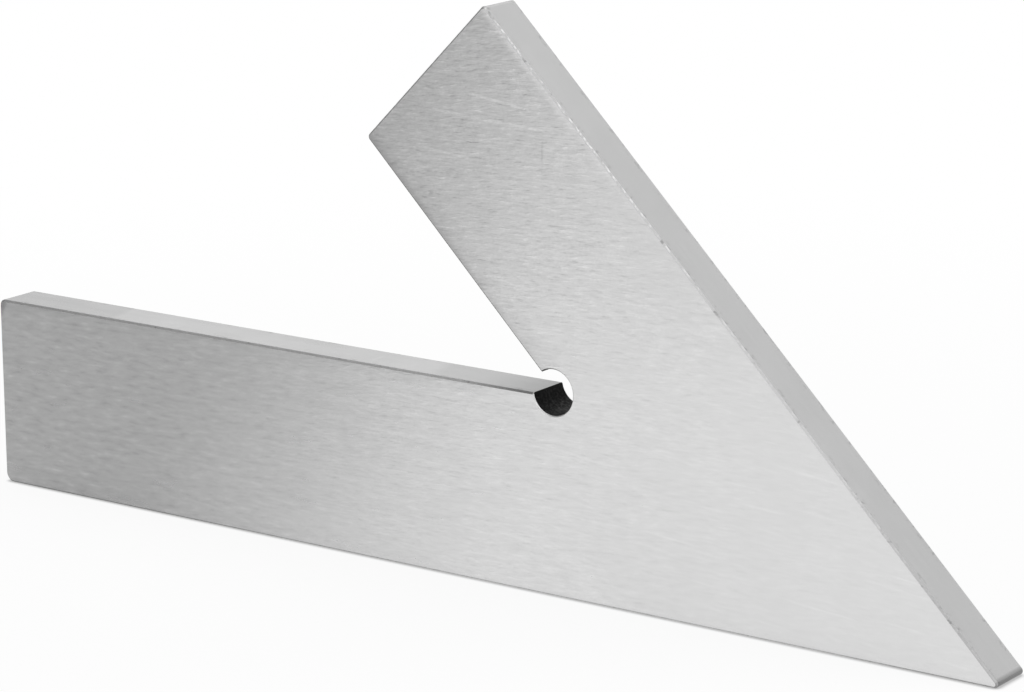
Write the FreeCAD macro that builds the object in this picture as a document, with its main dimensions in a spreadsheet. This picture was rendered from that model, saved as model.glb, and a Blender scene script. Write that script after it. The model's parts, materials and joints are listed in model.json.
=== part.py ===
import FreeCAD, Part
import Sketcher
import math
import os

# A flat 45 degree mitre square, ground from one steel plate. It stands on the outer face of its long leg:
# +X runs along the long leg towards the acute tip, Y is the thickness and +Z is up.
# The origin is at the bottom centre of the whole square. Lengths are in millimetres, angles in degrees.
SIZES = [
    ("long_leg_length", 120.0, "outer face of the long leg, from its end to the rounded tip"),
    ("short_leg_length", 80.0, "outer face of the short leg, from its end to the rounded tip"),
    ("long_leg_width", 20.0, "between the parallel inner and outer faces of the long leg"),
    ("short_leg_width", 20.0, "between the parallel inner and outer faces of the short leg"),
    ("thickness", 5.0, "thickness of the plate, the same in both legs"),
    ("mitre_angle", 45.0, "angle between the legs"),
    ("relief_hole_diameter", 4.6, "hole drilled right through at the inner corner"),
    ("relief_hole_offset", 0.85, "from the sharp inner corner to the hole's centre, out into the gap"),
    ("tip_radius", 0.4, "rounding of the acute tip"),
    ("long_end_outer_radius", 1.0, "rounding of the long leg's end at its outer face"),
    ("long_end_inner_radius", 0.7, "rounding of the long leg's end at its inner face"),
    ("short_end_radius", 0.4, "rounding of both corners of the short leg's end"),
    ("edge_break", 0.2, "chamfer round the outline of the two broad faces"),
    ("hole_edge_break", 0.1, "chamfer round the rims of the relief hole"),
]
SIZE = {name: value for name, value, meaning in SIZES}

# Expressions on the sheet that place the outline. The legs are measured to the rounded tip, so the sharp
# corner that the outline is drawn to lies a little past it.
ANGLE = "(Sizes.mitre_angle * 1 deg)"
TIP_OVERRUN = f"Sizes.tip_radius * (1 / tan({ANGLE} / 2) - 1)"
TIP_X = f"(Sizes.long_leg_length / 2 + {TIP_OVERRUN})"
INNER_CORNER_X = f"({TIP_X} - Sizes.long_leg_width / tan({ANGLE}) - Sizes.short_leg_width / sin({ANGLE}))"
HOLE_X = f"{INNER_CORNER_X} - Sizes.relief_hole_offset * cos({ANGLE} / 2)"
HOLE_Z = f"Sizes.long_leg_width + Sizes.relief_hole_offset * sin({ANGLE} / 2)"

# The outline's six lines, each named by the side of the square that it becomes, and how a sketch counts
# the ends of a line, the centre of a circle, its own origin and its own x axis
LONG_OUTER, SHORT_OUTER, SHORT_END, SHORT_INNER, LONG_INNER, LONG_END = range(6)
START, END, CENTRE = 1, 2, 3
ORIGIN = (-1, START)
X_AXIS = -1

NEAR = 1e-4


def make_sheet(doc):
    """Gives each driving dimension a row of the sheet: a plain number with its name as alias."""
    sheet = doc.addObject("Spreadsheet::Sheet", "Sizes")
    for row, (name, value, meaning) in enumerate(SIZES, start=1):
        sheet.set(f"A{row}", name)
        sheet.set(f"B{row}", str(value))
        sheet.set(f"C{row}", meaning)
        sheet.setAlias(f"B{row}", name)
    doc.recompute()


def sketch_on_middle(body, name):
    """A sketch on the plane that halves the thickness. Its own x and y are the square's X and Z."""
    plane = next(part for part in body.Origin.OriginFeatures if part.Role == "XZ_Plane")
    sketch = body.newObject("Sketcher::SketchObject", name)
    sketch.AttachmentSupport = [(plane, "")]
    sketch.MapMode = "FlatFace"
    return sketch


def drive(sketch, name, expression, *constraint):
    """Adds a dimension to a sketch, named and driven by an expression on the sheet."""
    index = sketch.addConstraint(Sketcher.Constraint(*constraint))
    sketch.renameConstraint(index, name)
    sketch.setExpression(f"Constraints.{name}", expression)


def outline_corners():
    """The corner at which each line of the outline starts, near enough for the constraints to settle."""
    angle = math.radians(SIZE["mitre_angle"])
    half = SIZE["long_leg_length"] / 2
    width = SIZE["long_leg_width"]
    up_leg = FreeCAD.Vector(-math.cos(angle), math.sin(angle), 0)
    into_gap = FreeCAD.Vector(-math.sin(angle), -math.cos(angle), 0)
    tip = FreeCAD.Vector(half, 0, 0)
    end_outer = tip + up_leg * SIZE["short_leg_length"]
    end_inner = end_outer + into_gap * SIZE["short_leg_width"]
    inner_corner = end_inner - up_leg * ((end_inner.y - width) / up_leg.y)
    return [
        FreeCAD.Vector(-half, 0, 0),
        tip,
        end_outer,
        end_inner,
        inner_corner,
        FreeCAD.Vector(-half, width, 0),
    ]


def make_outline(body):
    """The sharp outline: parallel faces on each leg, square ends, and the mitre angle between the legs."""
    sketch = sketch_on_middle(body, "outline")
    corners = outline_corners()
    for line, corner in enumerate(corners):
        sketch.addGeometry(Part.LineSegment(corner, corners[(line + 1) % len(corners)]))
    for line in range(len(corners)):
        sketch.addConstraint(
            Sketcher.Constraint("Coincident", line, END, (line + 1) % len(corners), START)
        )
    sketch.addConstraint([
        Sketcher.Constraint("PointOnObject", LONG_OUTER, START, X_AXIS),
        Sketcher.Constraint("PointOnObject", LONG_OUTER, END, X_AXIS),
        Sketcher.Constraint("Horizontal", LONG_INNER),
        Sketcher.Constraint("Vertical", LONG_END),
        Sketcher.Constraint("Parallel", SHORT_INNER, SHORT_OUTER),
        Sketcher.Constraint("Perpendicular", SHORT_END, SHORT_OUTER),
    ])
    half = SIZE["long_leg_length"] / 2
    lean = math.pi - math.radians(SIZE["mitre_angle"])
    drive(sketch, "lean", f"180 deg - {ANGLE}", "Angle", SHORT_OUTER, lean)
    drive(sketch, "end_x", "Sizes.long_leg_length / 2", "DistanceX", LONG_OUTER, START, *ORIGIN, half)
    drive(sketch, "tip_x", TIP_X, "DistanceX", *ORIGIN, LONG_OUTER, END, half)
    drive(
        sketch, "short_outer", f"Sizes.short_leg_length + {TIP_OVERRUN}",
        "Distance", SHORT_OUTER, SIZE["short_leg_length"],
    )
    drive(sketch, "short_width", "Sizes.short_leg_width", "Distance", SHORT_END, SIZE["short_leg_width"])
    drive(sketch, "long_width", "Sizes.long_leg_width", "Distance", LONG_END, SIZE["long_leg_width"])
    return sketch


def make_plate(body, outline):
    """The outline as a plate, half its thickness to each side of the middle plane."""
    plate = body.newObject("PartDesign::Pad", "plate")
    plate.Profile = outline
    plate.SideType = "Symmetric"
    plate.setExpression("Length", "Sizes.thickness")


def edges_through(shape, corner):
    """Names of the edges that run through the thickness at a corner of the outline."""
    return [
        f"Edge{number}"
        for number, edge in enumerate(shape.Edges, start=1)
        if all(math.hypot(v.X - corner.x, v.Z - corner.y) < NEAR for v in edge.Vertexes)
    ]


def round_corner(body, outline, name, size, lines):
    """Rounds the outline's corners at which these lines start, to the radius that the sheet gives."""
    body.Document.recompute()
    base = body.Tip
    corners = [outline.getPoint(line, START) for line in lines]
    edges = [edge for corner in corners for edge in edges_through(base.Shape, corner)]
    rounding = body.newObject("PartDesign::Fillet", name)
    rounding.Base = (base, edges)
    rounding.setExpression("Radius", f"Sizes.{size}")


def round_corners(body, outline):
    """Rounds the acute tip and the ends of both legs. The inner corner is left for the relief hole."""
    round_corner(body, outline, "tip_rounding", "tip_radius", [SHORT_OUTER])
    round_corner(body, outline, "long_end_outer_rounding", "long_end_outer_radius", [LONG_OUTER])
    round_corner(body, outline, "long_end_inner_rounding", "long_end_inner_radius", [LONG_END])
    round_corner(body, outline, "short_end_rounding", "short_end_radius", [SHORT_END, SHORT_INNER])


def drill_relief_hole(body, outline):
    """Drills through at the inner corner, centred on the line that halves the gap. Returns the centre."""
    body.Document.recompute()
    volume_before = body.Shape.Volume
    sketch = sketch_on_middle(body, "relief_hole_place")
    centre = outline.getPoint(LONG_INNER, START)
    radius = SIZE["relief_hole_diameter"] / 2
    sketch.addGeometry(Part.Circle(centre, FreeCAD.Vector(0, 0, 1), radius))
    drive(sketch, "diameter", "Sizes.relief_hole_diameter", "Diameter", 0, 2 * radius)
    drive(sketch, "centre_x", HOLE_X, "DistanceX", *ORIGIN, 0, CENTRE, centre.x)
    drive(sketch, "centre_z", HOLE_Z, "DistanceY", *ORIGIN, 0, CENTRE, centre.y)
    hole = body.newObject("PartDesign::Pocket", "relief_hole")
    hole.Profile = sketch
    hole.SideType = "Symmetric"
    hole.Type = "ThroughAll"
    body.Document.recompute()
    if body.Shape.Volume > volume_before - NEAR:
        raise RuntimeError("the relief hole cuts nothing")
    return sketch.getPoint(0, CENTRE)


def lies_on_broad_face(edge):
    """Whether the whole edge lies in the plane of the front or the back."""
    box = edge.BoundBox
    return box.YLength < NEAR and abs(abs(box.YMin) - SIZE["thickness"] / 2) < NEAR


def runs_round(edge, centre):
    """Whether the edge is an arc about a point of the outline's plane."""
    curve = edge.Curve
    if curve.TypeId != "Part::GeomCircle":
        return False
    return math.hypot(curve.Center.x - centre.x, curve.Center.z - centre.y) < NEAR


def break_edges(body, name, size, wanted):
    """Takes the sharpness off those edges of the two broad faces that are wanted."""
    body.Document.recompute()
    base = body.Tip
    edges = [
        f"Edge{number}"
        for number, edge in enumerate(base.Shape.Edges, start=1)
        if lies_on_broad_face(edge) and wanted(edge)
    ]
    chamfer = body.newObject("PartDesign::Chamfer", name)
    chamfer.Base = (base, edges)
    chamfer.setExpression("Size", f"Sizes.{size}")


def make_mitre_square(doc):
    """The whole square is one piece: plate, rounded corners, relief hole, then broken edges."""
    body = doc.addObject("PartDesign::Body", "mitre_square")
    body.Label = "mitre_square"
    outline = make_outline(body)
    make_plate(body, outline)
    round_corners(body, outline)
    hole = drill_relief_hole(body, outline)
    break_edges(body, "outline_edge_breaks", "edge_break", lambda edge: not runs_round(edge, hole))
    break_edges(body, "hole_edge_breaks", "hole_edge_break", lambda edge: runs_round(edge, hole))
    return body


def check(doc, bodies):
    """Stops if an object failed to compute or a piece has no sound solid."""
    failed = [o.Name for o in doc.Objects if "Invalid" in o.State or "Error" in o.State]
    if failed:
        raise RuntimeError(f"these failed to compute: {failed}")
    for body in bodies:
        shape = body.Shape
        if shape.isNull() or not shape.isValid() or len(shape.Solids) != 1:
            raise RuntimeError(f"{body.Label} is not one sound solid")


def main():
    doc = FreeCAD.newDocument("mitre_square")
    make_sheet(doc)
    bodies = [make_mitre_square(doc)]
    doc.recompute()
    check(doc, bodies)
    os.makedirs("parts", exist_ok=True)
    for body in bodies:
        body.Shape.exportStep(f"parts/{body.Label}.step")
        box = body.Shape.BoundBox
        print(
            f"{body.Label}: {box.XLength:.3f} x {box.YLength:.3f} x {box.ZLength:.3f} mm,"
            f" {body.Shape.Volume:.1f} mm3, {len(body.Shape.Faces)} faces"
        )


main()
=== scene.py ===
import json
import math

import bpy
from mathutils import Matrix, Vector


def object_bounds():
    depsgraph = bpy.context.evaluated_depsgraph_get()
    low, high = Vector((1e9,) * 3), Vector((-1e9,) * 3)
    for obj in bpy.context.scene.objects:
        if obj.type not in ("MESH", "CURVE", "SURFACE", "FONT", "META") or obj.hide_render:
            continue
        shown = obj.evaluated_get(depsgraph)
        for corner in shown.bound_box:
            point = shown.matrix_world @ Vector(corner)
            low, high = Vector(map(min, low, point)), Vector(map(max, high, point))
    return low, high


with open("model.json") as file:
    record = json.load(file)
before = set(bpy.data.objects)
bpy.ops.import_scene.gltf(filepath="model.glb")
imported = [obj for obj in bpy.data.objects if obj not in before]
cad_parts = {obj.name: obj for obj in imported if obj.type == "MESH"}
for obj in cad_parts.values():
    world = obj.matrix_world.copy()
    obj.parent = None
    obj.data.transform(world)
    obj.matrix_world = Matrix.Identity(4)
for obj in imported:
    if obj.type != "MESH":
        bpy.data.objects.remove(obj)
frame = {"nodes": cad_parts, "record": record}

CAD_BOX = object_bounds()

MM = 0.001

SQUARE = frame["nodes"]["mitre_square"]
MOUNTS = {mount["name"]: mount for mount in frame["record"]["mounts"]}

# The relief hole and the planes of the square, as the frame gives them, in metres
HOLE_X, _, HOLE_Z = MOUNTS["relief_hole"]["pos_m"]
HOLE_RADIUS = MOUNTS["relief_hole"]["dims"]["r_mm"] * MM
LONG_TOP_Z = MOUNTS["long_leg_inner_face"]["pos_m"][2]
GAP_AXIS = MOUNTS["short_leg_inner_face"]["axis"]
LONG_END_X = CAD_BOX[0][0]
TIP_X = CAD_BOX[1][0]
HALF_THICKNESS = CAD_BOX[1][1]
SLOPE_X, _, SLOPE_Z = MOUNTS["short_leg_outer_face"]["axis"]
UP_SHORT_LEG = Vector((-SLOPE_Z, 0.0, SLOPE_X))
SHORT_END = max(vertex.co.dot(UP_SHORT_LEG) for vertex in SQUARE.data.vertices)

# How wide the broken edges are along the outline and round the hole's rims, and how high and how far back
# the rounding of the acute tip reaches
EDGE_BREAK = 0.2 * MM
RIM_BREAK = 0.1 * MM
TIP_ROUND_TOP = 0.68 * MM
TIP_ROUND_LENGTH = 0.8 * MM

# The camera that the photograph was taken with, as fitted to the square's edges: the place in the frame,
# the turn about the vertical, the tilt below the horizon, the roll and the focal length, in pixels of an
# image that is IMAGE_WIDTH wide
CAMERA_PLACE = (0.21569, -0.29457, 0.11405)
CAMERA_TURN = math.radians(35.579)
CAMERA_TILT = math.radians(14.038)
CAMERA_ROLL = math.radians(0.329)
FOCAL_PIXELS = 3860.3
IMAGE_WIDTH = 1024
SENSOR_WIDTH = 36.0

# How the grinding lines of the broad faces rise along the long leg: the long ones, the short crisp ones,
# those that only stain the steel, and a few stray ones that fall
GRAIN_RISE = math.radians(0.5)
CRISP_RISE = math.radians(1.0)
TINT_RISE = math.radians(2.0)
STRAY_RISE = math.radians(-5.0)

# The marks of the grinding and lapping, with their size along and across their own direction
SOFT_STROKE = (2.0 * MM, 0.6 * MM)
CRISP_STROKE = (1.4 * MM, 0.3 * MM)
TINT_STROKE = (2.0 * MM, 0.5 * MM)
COARSE_STREAK = (8 * MM, 1.4 * MM)
STRAY_STREAK = (9 * MM, 0.5 * MM)
LAPPING_LINE = (6 * MM, 0.4 * MM)

# The marks that have no direction: soft patches, specks, the chips that wear leaves, and broad bands
PATCH = 5 * MM
SPECK = 0.25 * MM
CHIP = 0.7 * MM
BAND = 9 * MM

# Where the looks change along the square, as from and to. Along x: the grinding gets crisp, then faint
# towards the tip, the long leg's inner face gets painted shade at the hole, and the broken edges get
# painted shade at the tip. Along z: the stains get strong, the coarse streaks weak, and the painted glints
# many
CRISP_ZONE = (-50 * MM, -5 * MM)
FAINT_ZONE = (10 * MM, 40 * MM)
SHADED_TOP_ZONE = (1 * MM, 11 * MM)
SHADED_EDGE_ZONE = (40 * MM, 58 * MM)
STAIN_ZONE = (10 * MM, 38 * MM)
SHORT_LEG_ZONE = (20 * MM, 40 * MM)
GLINT_ZONE = (25 * MM, 45 * MM)
FAINT_SHARE = 0.38
LOW_STAINS = 0.19
HIGH_STAINS = 0.34

# Where the rubbed stretch of the long leg's inner face begins and ends, along x
RUBBED_START = (-45.5 * MM, -44 * MM)
RUBBED_END = (-4.5 * MM, -2.5 * MM)

# How deep the marks go, how far the broad faces roll off at their outline, and how much the grinding
# stretches what the steel mirrors
BUMP_DEPTH = 0.05 * MM
ROLL_OFF_REACH = 1.1 * MM
STRETCH = 0.87

STEEL_TONE = 0.735
# The hole's wall gets painted shade, nearly black
BORE_SHADE_TONE = 0.024
BORE_DARKEST_SHADE = 0.01
EDGE_TONE = 0.64
# The hole's rims get a painted highlight and painted shade
RIM_HIGHLIGHT = 0.95
RIM_SHADE = 0.15

# Scratches that catch the light or stay dark: both ends in x and z on the broad faces, and how much the
# steel's tone changes there
SCRATCHES = [
    ((1.5, 48.4), (9.1, 47.4), 0.12),
    ((-2.6, 46.4), (10.9, 45.6), 0.11),
    ((-3.9, 42.6), (2.1, 42.0), 0.08),
    ((10.4, 44.8), (10.3, 42.3), -0.08),
]
SCRATCH_WIDTH = 0.18 * MM
# Fine ticks across the long leg's inner face: both ends in x and y
TICKS = [
    ((-11.4, -1.4), (-11.2, 0.9), 0.06),
    ((-6.7, -1.1), (-6.6, 0.2), 0.06),
]
TICK_WIDTH = 0.2 * MM

# What the steel mirrors of the studio: its plain level, and where it is dim. Straight above, the softbox
# there adds its own light to the low level. ROOM_LEVEL lights whatever isn't mirrored
STUDIO_LEVEL = 0.80
ABOVE_SHARE = 0.35
DARK_SIDE = Vector((-0.91, -0.29, 0.31)).normalized()
DARK_LEVEL = 0.2
BACK_RIGHT = (0.6, 0.8, 0.0)
BACK_RIGHT_LEVEL = 0.70
ROOM_LEVEL = 0.68

WHITE = (1, 1, 1, 1)
FLOOR_COLOR = (0.95, 0.95, 0.95, 1)
FLOOR_HALF_SIDE = 4.0
CONTACT_REACH = 0.6 * MM

ALONG_X = (1, 0, 0)
ALONG_Y = (0, 1, 0)
ALONG_Z = (0, 0, 1)


class Graph:
    """A node tree with short calls for the nodes that the materials are made of."""

    def __init__(self, tree):
        self.tree = tree
        tree.nodes.clear()

    def node(self, kind, settings=None, **inputs):
        """Adds a node. settings are its properties, inputs its sockets: values or other nodes' outputs."""
        node = self.tree.nodes.new(kind)
        for name, value in (settings or {}).items():
            setattr(node, name, value)
        for name, value in inputs.items():
            self.put(node.inputs[name.replace("_", " ")], value)
        return node

    def put(self, socket, value):
        if isinstance(value, bpy.types.NodeSocket):
            self.tree.links.new(value, socket)
        else:
            socket.default_value = value

    def math(self, operation, *values, clamp=False):
        node = self.tree.nodes.new("ShaderNodeMath")
        node.operation = operation
        node.use_clamp = clamp
        for socket, value in zip(node.inputs, values):
            self.put(socket, value)
        return node.outputs[0]

    def dot(self, vector, direction):
        node = self.tree.nodes.new("ShaderNodeVectorMath")
        node.operation = "DOT_PRODUCT"
        self.put(node.inputs[0], vector)
        self.put(node.inputs[1], direction)
        return node.outputs["Value"]

    def length(self, vector):
        node = self.tree.nodes.new("ShaderNodeVectorMath")
        node.operation = "LENGTH"
        self.put(node.inputs[0], vector)
        return node.outputs["Value"]

    def size(self, value):
        return self.math("ABSOLUTE", value)

    def ramp(self, value, low, high, to_low=0.0, to_high=1.0):
        """Maps low..high to to_low..to_high, eased at both ends."""
        node = self.tree.nodes.new("ShaderNodeMapRange")
        node.interpolation_type = "SMOOTHSTEP"
        for name, number in zip(("From Min", "From Max", "To Min", "To Max"), (low, high, to_low, to_high)):
            self.put(node.inputs[name], number)
        self.put(node.inputs["Value"], value)
        return node.outputs["Result"]

    def fall(self, value, low, high):
        """1 up to low, falling to 0 at high."""
        return self.ramp(value, low, high, 1.0, 0.0)

    def blend(self, factor, a, b):
        """A number between a and b."""
        node = self.tree.nodes.new("ShaderNodeMix")
        for name, value in (("Factor", factor), ("A", a), ("B", b)):
            self.put(node.inputs[name], value)
        return node.outputs["Result"]

    def combine(self, x, y, z):
        return self.node("ShaderNodeCombineXYZ", X=x, Y=y, Z=z).outputs["Vector"]

    def grains(self, places, sizes, detail=2.0, roughness=0.5):
        """Noise about 0 whose grains have these sizes along the three given places, all in metres."""
        cells = [self.math("DIVIDE", place, size) for place, size in zip(places, sizes)]
        noise = self.node(
            "ShaderNodeTexNoise", Vector=self.combine(*cells), Scale=1.0, Detail=detail, Roughness=roughness
        )
        return self.math("SUBTRACT", noise.outputs["Fac"], 0.5)

    def add(self, *terms, base=0.0):
        """The sum of (weight, value) pairs, counted from a base."""
        total = base
        for weight, value in terms:
            total = self.math("MULTIPLY_ADD", value, weight, total)
        return total

    def product(self, *factors):
        total = factors[0]
        for factor in factors[1:]:
            total = self.math("MULTIPLY", total, factor)
        return total

    def emission(self, strength):
        return self.node("ShaderNodeEmission", Color=WHITE, Strength=strength).outputs[0]

    def shader_mix(self, factor, a, b):
        node = self.tree.nodes.new("ShaderNodeMixShader")
        for socket, value in zip(node.inputs, (factor, a, b)):
            self.put(socket, value)
        return node.outputs[0]

    def finish(self, kind, shader):
        output = self.node(kind)
        self.put(output.inputs["Surface"], shader)


def new_material(name):
    material = bpy.data.materials.new(name)
    material.use_nodes = True
    return material, Graph(material.node_tree)


def make_camera():
    sin_turn, cos_turn = math.sin(CAMERA_TURN), math.cos(CAMERA_TURN)
    sin_tilt, cos_tilt = math.sin(CAMERA_TILT), math.cos(CAMERA_TILT)
    forward = Vector((-sin_turn * cos_tilt, cos_turn * cos_tilt, -sin_tilt))
    level = Vector((cos_turn, sin_turn, 0))
    down = forward.cross(level)
    right = level * math.cos(CAMERA_ROLL) + down * math.sin(CAMERA_ROLL)
    up = level * math.sin(CAMERA_ROLL) - down * math.cos(CAMERA_ROLL)
    turn = Matrix((right, up, -forward)).transposed()
    data = bpy.data.cameras.new("camera")
    data.sensor_width = SENSOR_WIDTH
    data.lens = FOCAL_PIXELS / IMAGE_WIDTH * SENSOR_WIDTH
    data.clip_start = 0.01
    data.clip_end = 50
    camera = bpy.data.objects.new("camera", data)
    camera.matrix_world = Matrix.Translation(CAMERA_PLACE) @ turn.to_4x4()
    bpy.context.scene.collection.objects.link(camera)
    bpy.context.scene.camera = camera


def make_lamp(name, place, target, size, watts):
    data = bpy.data.lights.new(name, "AREA")
    data.shape = "RECTANGLE"
    data.size, data.size_y = size
    data.energy = watts
    lamp = bpy.data.objects.new(name, data)
    lamp.location = place
    lamp.rotation_euler = (Vector(target) - Vector(place)).to_track_quat("-Z", "Y").to_euler()
    bpy.context.scene.collection.objects.link(lamp)


def make_lamps():
    """A large softbox above and a small one at the front right."""
    make_lamp("softbox_above", place=(0.1, 0.1, 0.9), target=(0, 0, 0), size=(0.9, 0.9), watts=2.3)
    make_lamp(
        "softbox_front_right", place=(0.45, -0.6, 0.6), target=(0, 0, 0.02), size=(0.4, 0.4), watts=0.4
    )


def seen_in_steel(g, path):
    return g.math("MAXIMUM", path["Is Glossy Ray"], path["Is Transmission Ray"])


def mirrored_studio(g, direction):
    """The pale studio that the steel mirrors: dim straight above, at the upper left and the back right."""
    level = g.ramp(g.dot(direction, BACK_RIGHT), 0.3, 0.7, STUDIO_LEVEL, BACK_RIGHT_LEVEL)
    level = g.product(level, g.ramp(g.dot(direction, ALONG_Z), 0.78, 0.9, 1.0, ABOVE_SHARE))
    dark = g.ramp(g.dot(direction, DARK_SIDE), 0.74, 0.82)
    return g.blend(dark, level, DARK_LEVEL)


def make_world():
    """White to the camera, the studio in the steel, and a plain level for everything else."""
    world = bpy.data.worlds.new("studio")
    bpy.context.scene.world = world
    world.use_nodes = True
    g = Graph(world.node_tree)
    direction = g.node("ShaderNodeTexCoord").outputs["Generated"]
    path = g.node("ShaderNodeLightPath").outputs
    strength = g.blend(seen_in_steel(g, path), ROOM_LEVEL, mirrored_studio(g, direction))
    strength = g.blend(path["Is Camera Ray"], strength, 1.0)
    background = g.node("ShaderNodeBackground", Color=WHITE, Strength=strength)
    g.finish("ShaderNodeOutputWorld", background.outputs[0])


def floor_by_camera(g, place, paint):
    """The floor that the camera sees: some of its shadow near the square, and plain white further off."""
    open_sky = g.node("ShaderNodeAmbientOcclusion", Distance=CONTACT_REACH).outputs["AO"]
    contact = g.ramp(open_sky, 0.4, 1.0, 0.55, 1.0)
    plain = g.ramp(g.length(place), 60 * MM, 200 * MM, 0.88, 1.0)
    return g.shader_mix(plain, paint, g.emission(contact))


def floor_by_steel(g, path, place, paint):
    """The floor that the steel mirrors: it glows, with painted light dim towards the long leg's end and a
    painted shadow close beside the square.
    """
    y = g.dot(place, ALONG_Y)
    to_right = g.add((1.0, g.dot(place, ALONG_X)), (-0.45, y), (0.15, g.size(y)))
    # Painted light and shadow: the glowing floor brightens to the right and darkens close beside the square
    tone = g.ramp(to_right, -50 * MM, 10 * MM, 0.44, 1.06)
    shade = g.ramp(g.size(y), 2.4 * MM, 3.4 * MM, 0.85, 1.0)
    mirrored = g.emission(g.product(tone, shade))
    return g.shader_mix(g.product(seen_in_steel(g, path), 0.75), paint, mirrored)


def make_floor():
    """A pale floor that keeps the square's shadow."""
    mesh = bpy.data.meshes.new("floor")
    side = FLOOR_HALF_SIDE
    corners = [(-side, -side, 0), (side, -side, 0), (side, side, 0), (-side, side, 0)]
    mesh.from_pydata(corners, [], [(0, 1, 2, 3)])
    floor = bpy.data.objects.new("floor", mesh)
    bpy.context.scene.collection.objects.link(floor)
    material, g = new_material("floor")
    mesh.materials.append(material)
    place = g.node("ShaderNodeNewGeometry").outputs["Position"]
    path = g.node("ShaderNodeLightPath").outputs
    paint = g.node("ShaderNodeBsdfDiffuse", Color=FLOOR_COLOR).outputs[0]
    by_camera = floor_by_camera(g, place, paint)
    by_steel = floor_by_steel(g, path, place, paint)
    g.finish("ShaderNodeOutputMaterial", g.shader_mix(path["Is Camera Ray"], by_steel, by_camera))


def depth_below(g, place, name):
    """How far a place lies below one of the flat faces that the frame names."""
    mount = MOUNTS[name]
    axis = Vector(mount["axis"])
    return g.math("SUBTRACT", axis.dot(Vector(mount["pos_m"])), g.dot(place, axis))


class Surface:
    """What the steel's looks share: where a point of the square lies, on which face, and some noises."""

    def __init__(self, g):
        coordinates = g.node("ShaderNodeTexCoord").outputs
        self.place = coordinates["Object"]
        self.normal = coordinates["Normal"]
        self.x = g.dot(self.place, ALONG_X)
        self.y = g.dot(self.place, ALONG_Y)
        self.z = g.dot(self.place, ALONG_Z)
        self.from_middle = g.size(self.y)
        self.measure(g)
        self.find_faces(g)
        self.find_named_faces(g)
        self.make_noises(g)

    def measure(self, g):
        """Distances from the hole's axis, and inside the gap's sides and the short leg's end."""
        self.from_hole_x = g.math("SUBTRACT", self.x, HOLE_X)
        self.from_hole_z = g.math("SUBTRACT", self.z, HOLE_Z)
        self.from_hole = g.length(g.combine(self.from_hole_x, 0.0, self.from_hole_z))
        self.from_gap = g.math(
            "MAXIMUM",
            depth_below(g, self.place, "long_leg_inner_face"),
            depth_below(g, self.place, "short_leg_inner_face"),
        )
        self.from_short_end = g.math("SUBTRACT", SHORT_END, g.dot(self.place, UP_SHORT_LEG))

    def find_faces(self, g):
        """1 on the broad faces, on the narrow ones, or on the broken edges between them, and else 0."""
        facing = g.size(g.dot(self.normal, ALONG_Y))
        self.broad = g.ramp(facing, 0.85, 0.95)
        self.narrow = g.fall(facing, 0.05, 0.35)
        self.edge = g.math("SUBTRACT", g.math("SUBTRACT", 1.0, self.broad), self.narrow)

    def find_named_faces(self, g):
        """1 on the hole's wall, its rims, the rounded tip, or the long leg's inner face, and else 0."""
        wall = HOLE_RADIUS
        rim = HOLE_RADIUS + RIM_BREAK
        self.in_bore = g.product(self.narrow, g.fall(self.from_hole, wall + 0.02 * MM, wall + 0.05 * MM))
        self.on_rim = g.product(self.edge, g.fall(self.from_hole, rim + 0.02 * MM, rim + 0.06 * MM))
        self.on_tip = g.product(
            self.narrow,
            g.fall(self.z, TIP_ROUND_TOP, TIP_ROUND_TOP + 0.25 * MM),
            g.ramp(self.x, TIP_X - TIP_ROUND_LENGTH - 0.2 * MM, TIP_X - TIP_ROUND_LENGTH),
        )
        self.on_long_top = g.product(
            self.narrow,
            g.fall(g.size(g.math("SUBTRACT", self.z, LONG_TOP_Z)), 0.3 * MM, 0.6 * MM),
            g.fall(self.x, 10 * MM, 12 * MM),
        )

    def make_noises(self, g):
        """The noises, how crisp the grinding is, more so away from the long leg's end, and how strong."""
        spot = (self.x, self.y, self.z)
        length, width = LAPPING_LINE
        self.lapping = g.grains(spot, (length, width, length), detail=3.0)
        self.patches = g.grains(spot, (PATCH, PATCH, PATCH))
        self.specks = g.grains(spot, (SPECK, SPECK, SPECK), roughness=0.6)
        self.wear = g.grains(spot, (CHIP, CHIP, CHIP), detail=3.0, roughness=0.7)
        self.crispness = g.ramp(self.x, *CRISP_ZONE)
        self.strength = g.ramp(self.x, *FAINT_ZONE, 1.0, FAINT_SHARE)

    def along_grinding(self, g, rise):
        """Distances along, across and under lines that rise at this angle from the long leg's direction."""
        along = g.dot(self.place, (math.cos(rise), 0.0, math.sin(rise)))
        across = g.dot(self.place, (-math.sin(rise), 0.0, math.cos(rise)))
        return along, across, self.y


def streaks(g, places, mark, detail):
    """Grains about 0 that are as long and as wide as this mark."""
    length, width = mark
    return g.grains(places, (length, width, width), detail)


def strokes(g, places, mark, detail):
    """Streaks of which the strongest stand out, as separate marks on a flatter ground."""
    noise = streaks(g, places, mark, detail)
    return g.product(noise, g.math("MULTIPLY_ADD", g.size(noise), 4.0, 0.5))


def roll_off(g, s, reach):
    """1 at the outline of the broad faces, falling smoothly to 0 at this distance inside it."""
    depths = [
        depth_below(g, s.place, "long_leg_outer_face"),
        depth_below(g, s.place, "short_leg_outer_face"),
        g.math("SUBTRACT", s.x, LONG_END_X),
        s.from_short_end,
        s.from_gap,
    ]
    total = 0.0
    for depth in depths:
        nearness = g.math("MULTIPLY_ADD", depth, -1 / reach, 1.0, clamp=True)
        total = g.math("ADD", g.math("POWER", nearness, 3.0), total)
    return total


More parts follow.
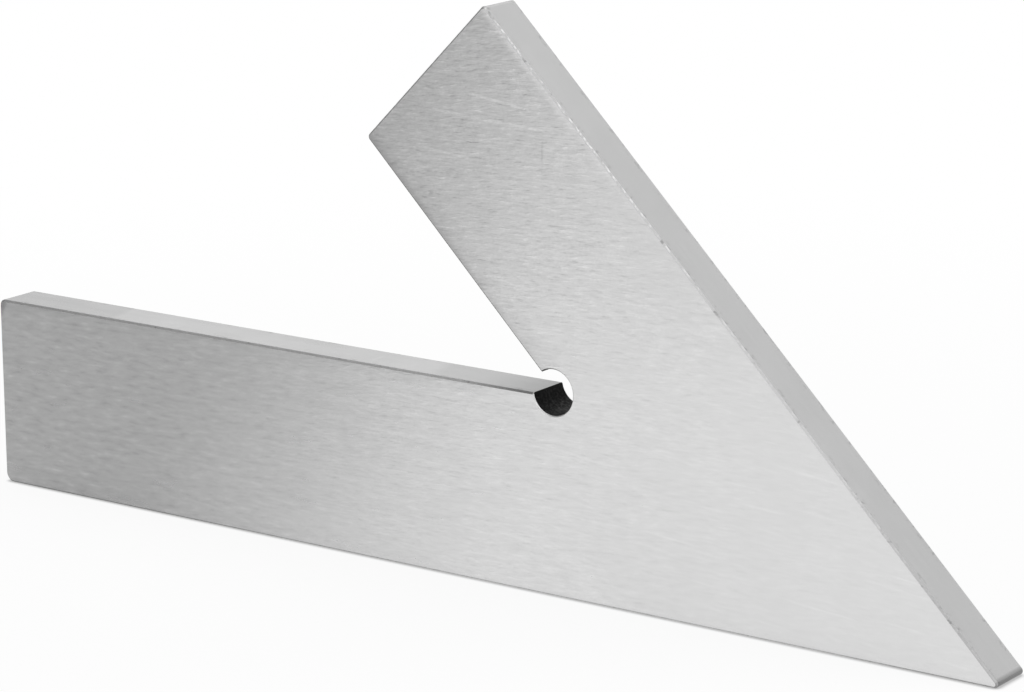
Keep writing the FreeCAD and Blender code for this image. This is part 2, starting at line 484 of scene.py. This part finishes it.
def scratch(g, u, v, ends, width):
    """1 along a straight line between two points in millimetres, and 0 beside and beyond it."""
    start, end = (Vector(point) * MM for point in ends)
    way = (end - start).normalized()
    across = g.add((-way.y, u), (way.x, v), base=way.y * start.x - way.x * start.y)
    along = g.add((way.x, u), (way.y, v), base=-way.dot(start))
    fade = width * 3
    length = (end - start).length
    return g.product(
        g.fall(g.size(across), width * 0.4, width),
        g.ramp(along, 0.0, fade),
        g.fall(along, length - fade, length),
    )


def scratches(g, u, v, lines, width):
    """The sum of all these scratches, each with its own strength."""
    total = 0.0
    for start, end, strength in lines:
        total = g.math("MULTIPLY_ADD", scratch(g, u, v, (start, end), width), strength, total)
    return total


def grinding_height(g, s, crisp):
    """Soft strokes that turn crisp away from the long leg's end, over long coarse streaks."""
    places = s.along_grinding(g, GRAIN_RISE)
    soft = g.product(strokes(g, places, SOFT_STROKE, detail=1.5), 0.9)
    fine = g.product(g.blend(s.crispness, soft, crisp), s.strength)
    coarse = g.product(
        streaks(g, places, COARSE_STREAK, detail=2.0),
        s.strength,
        g.blend(s.crispness, 1.25, 1.0),
        g.ramp(s.z, *SHORT_LEG_ZONE, 1.0, 0.6),
    )
    return g.add((0.4, fine), (0.9, coarse))


def bump_normal(g, s, grinding):
    """The slope of the marks: grinding and rolled-off rims on the broad faces, lapping on the others."""
    rolled = g.product(roll_off(g, s, ROLL_OFF_REACH), g.ramp(s.from_hole, 4 * MM, 15 * MM))
    ground = g.add((1.0, grinding), (-0.9, rolled))
    height = g.blend(s.broad, g.product(s.lapping, 0.1), ground)
    bump = g.node("ShaderNodeBump", Height=height, Strength=1.0, Distance=BUMP_DEPTH)
    return bump.outputs["Normal"]


def grinding_stains(g, s, crisp):
    """The tone of the grinding, about 0: soft tint, crisp strokes, specks and stray lines."""
    tint = strokes(g, s.along_grinding(g, TINT_RISE), TINT_STROKE, detail=2.0)
    tint = g.product(tint, g.blend(s.crispness, 0.4, 0.14), s.strength)
    marks = g.add((0.55, s.specks), (1.0, g.product(crisp, s.crispness)))
    calm = g.ramp(s.patches, -0.2, 0.15, 0.6, 1.2)
    marks = g.product(marks, calm, s.strength, g.ramp(s.z, *STAIN_ZONE, LOW_STAINS, HIGH_STAINS))
    stray = streaks(g, s.along_grinding(g, STRAY_RISE), STRAY_STREAK, detail=1.0)
    return g.add((1.0, tint), (1.0, marks), (0.04, g.ramp(stray, 0.12, 0.28)))


def short_leg_rim_shade(g, s):
    """Painted shade: 1 at the short leg's rims along the gap and at its end, falling in two steps inside
    them.
    """
    from_rim = g.math("MINIMUM", s.from_gap, s.from_short_end)
    close = g.fall(from_rim, 0.2 * MM, 0.9 * MM)
    wide = g.fall(from_rim, 0.8 * MM, 3 * MM)
    on_short_leg = g.ramp(s.z, LONG_TOP_Z, LONG_TOP_Z + 4 * MM)
    return g.product(g.add((0.5, close), (0.5, wide)), on_short_leg)


def broad_tone(g, s, crisp):
    """The broad faces: ground, patchy and scratched, with painted shade at the short leg's rims, and darker
    at a corner and up the short leg.
    """
    broken = g.ramp(s.wear, -0.15, 0.1, 0.5, 1.2)
    marks = g.product(scratches(g, s.x, s.z, SCRATCHES, SCRATCH_WIDTH), broken)
    from_corner = g.add((1.0, s.x), (-0.5, s.z), base=0.5 * LONG_TOP_Z - LONG_END_X)
    return g.add(
        (1.0, grinding_stains(g, s, crisp)),
        (0.05, s.patches),
        (1.0, marks),
        # Painted shade along the short leg's rims
        (-0.15, short_leg_rim_shade(g, s)),
        (-0.25, g.fall(from_corner, 0.9 * MM, 1.5 * MM)),
        (-0.04, g.ramp(s.z, *SHORT_LEG_ZONE)),
        base=1.0,
    )


def long_top_tone(g, s):
    """The long leg's inner face: a rubbed stretch with slanted ends, ticks, and painted shade at its end by
    the hole.
    """
    slant = g.math("MULTIPLY_ADD", s.y, 0.3, s.x)
    rubbed = g.product(g.ramp(slant, *RUBBED_START), g.fall(slant, *RUBBED_END))
    ticks = scratches(g, s.x, s.y, TICKS, TICK_WIDTH)
    # Painted shade: the inner face darkens towards the hole, in the inner corner
    return g.add((0.12, rubbed), (-0.3, g.ramp(s.x, *SHADED_TOP_ZONE)), (1.0, ticks), base=0.92)


def narrow_tone(g, s):
    """The narrow faces: lapped, patchy and banded, nicked near their edges, and with painted shade on the
    rounded tip.
    """
    slant = g.math("MULTIPLY_ADD", s.y, 0.4, s.x)
    bands = g.grains((slant, 0.0, s.z), (BAND, 1.0, BAND), detail=0.0)
    bands = g.ramp(bands, -0.05, 0.05, -1.0, 1.0)
    lapped = g.add((0.06, s.lapping), (0.09, s.patches), (0.008, bands), base=1.0)
    nicks = g.product(g.ramp(s.wear, 0.06, 0.14), g.ramp(s.from_middle, 1.6 * MM, 2.2 * MM))
    # Painted shade on the rounded tip, darkest low down
    tip_shade = g.ramp(s.z, 0.45 * MM, 0.7 * MM, 0.3, 0.68)
    return g.product(
        lapped,
        g.blend(s.on_long_top, 1.0, long_top_tone(g, s)),
        g.add((-0.25, nicks), base=1.0),
        g.blend(s.on_tip, 1.0, tip_shade),
    )


def edge_glints_and_dents(g, s):
    """Painted glints along the crest of the broken edges, fewer low down, and the edges' dents."""
    start = HALF_THICKNESS - EDGE_BREAK
    crest = g.product(
        g.ramp(s.from_middle, start, start + 0.04 * MM),
        g.fall(s.from_middle, start + 0.11 * MM, start + 0.15 * MM),
    )
    # Painted highlight: brighter glints on the crest of the broken edges
    painted_glints = g.product(crest, g.ramp(s.wear, -0.02, 0.12), g.ramp(s.z, *GLINT_ZONE, 0.3, 1.0))
    dents = g.fall(s.wear, -0.2, -0.1)
    return g.add((0.45, painted_glints), (-0.35, dents), base=1.0)


def edge_highlight_and_shade(g, s):
    """The broken edges: painted highlight where they face up, painted shade along the gap, at the hole and
    near the tip.
    """
    facing_up = g.dot(s.normal, ALONG_Z)
    facing_along = g.size(g.dot(s.normal, ALONG_X))
    facing_gap = g.ramp(g.dot(s.normal, GAP_AXIS), 0.55, 0.65)
    shade_by_hole = g.product(g.ramp(facing_up, 0.55, 0.65), g.ramp(s.x, 0.0, 8 * MM))
    # Painted highlight and shade: the edges are lighter where they face up, darker where they face along the
    # leg, into the gap, by the hole or near the tip
    level = g.add(
        (0.3, facing_up),
        (-0.45, facing_along),
        (-0.58, facing_gap),
        (-0.6, shade_by_hole),
        (-0.2, g.ramp(s.x, *SHADED_EDGE_ZONE)),
        base=1.1,
    )
    return g.product(level, edge_glints_and_dents(g, s), EDGE_TONE)


def rim_highlight_and_shade(g, s):
    """The hole's rims: a painted highlight at the lower left and painted shade at the upper right."""
    low_left = g.add((-0.7, s.from_hole_x), (-0.7, s.from_hole_z))
    return g.ramp(low_left, -0.3 * HOLE_RADIUS, 0.4 * HOLE_RADIUS, RIM_SHADE, RIM_HIGHLIGHT)


def bore_shade(g, s):
    """The hole's wall: painted shade, dark and speckled, with painted light making it less dark at the lower
    right.
    """
    low_right = g.add((0.7, s.from_hole_x), (-0.7, s.from_hole_z))
    lit = g.ramp(low_right, -1.0 * MM, 2.0 * MM, 0.5, 1.5)
    tone = g.add((BORE_SHADE_TONE, lit), (BORE_SHADE_TONE * 9, g.product(s.specks, lit)))
    return g.math("MAXIMUM", tone, BORE_DARKEST_SHADE)


def steel_color(g, s, crisp):
    tone = g.product(g.blend(s.broad, narrow_tone(g, s), broad_tone(g, s, crisp)), STEEL_TONE)
    tone = g.blend(s.edge, tone, g.blend(s.on_rim, edge_highlight_and_shade(g, s), rim_highlight_and_shade(g, s)))
    tone = g.blend(s.in_bore, tone, bore_shade(g, s))
    return g.node("ShaderNodeCombineColor", Red=tone, Green=tone, Blue=tone).outputs[0]


def stretch_direction(g, s):
    """The way that reflections are stretched: across the grinding, or across the narrow faces."""
    direction = g.combine(
        g.product(s.broad, -math.sin(GRAIN_RISE)),
        g.math("SUBTRACT", 1.0, s.broad),
        g.product(s.broad, math.cos(GRAIN_RISE)),
    )
    to_world = {"convert_from": "OBJECT", "convert_to": "WORLD"}
    return g.node("ShaderNodeVectorTransform", to_world, Vector=direction).outputs["Vector"]


def make_ground_steel():
    """Ground steel: streaks nearly along the long leg on the broad faces, lengthwise on the narrow ones."""
    material, g = new_material("ground_steel_finish")
    s = Surface(g)
    crisp = strokes(g, s.along_grinding(g, CRISP_RISE), CRISP_STROKE, detail=2.0)
    grinding = grinding_height(g, s, crisp)
    shader = g.node(
        "ShaderNodeBsdfPrincipled",
        Base_Color=steel_color(g, s, crisp),
        Metallic=1.0,
        Roughness=g.add((0.1, grinding), (0.2, s.edge), (0.2, s.in_bore), base=0.25),
        Anisotropic=STRETCH,
        Normal=bump_normal(g, s, grinding),
        Tangent=stretch_direction(g, s),
    )
    g.finish("ShaderNodeOutputMaterial", shader.outputs[0])
    return material


def dress_square():
    SQUARE.data.materials[0] = make_ground_steel()


make_camera()
make_world()
make_floor()
make_lamps()
dress_square()
bpy.context.scene.view_settings.view_transform = "Standard"
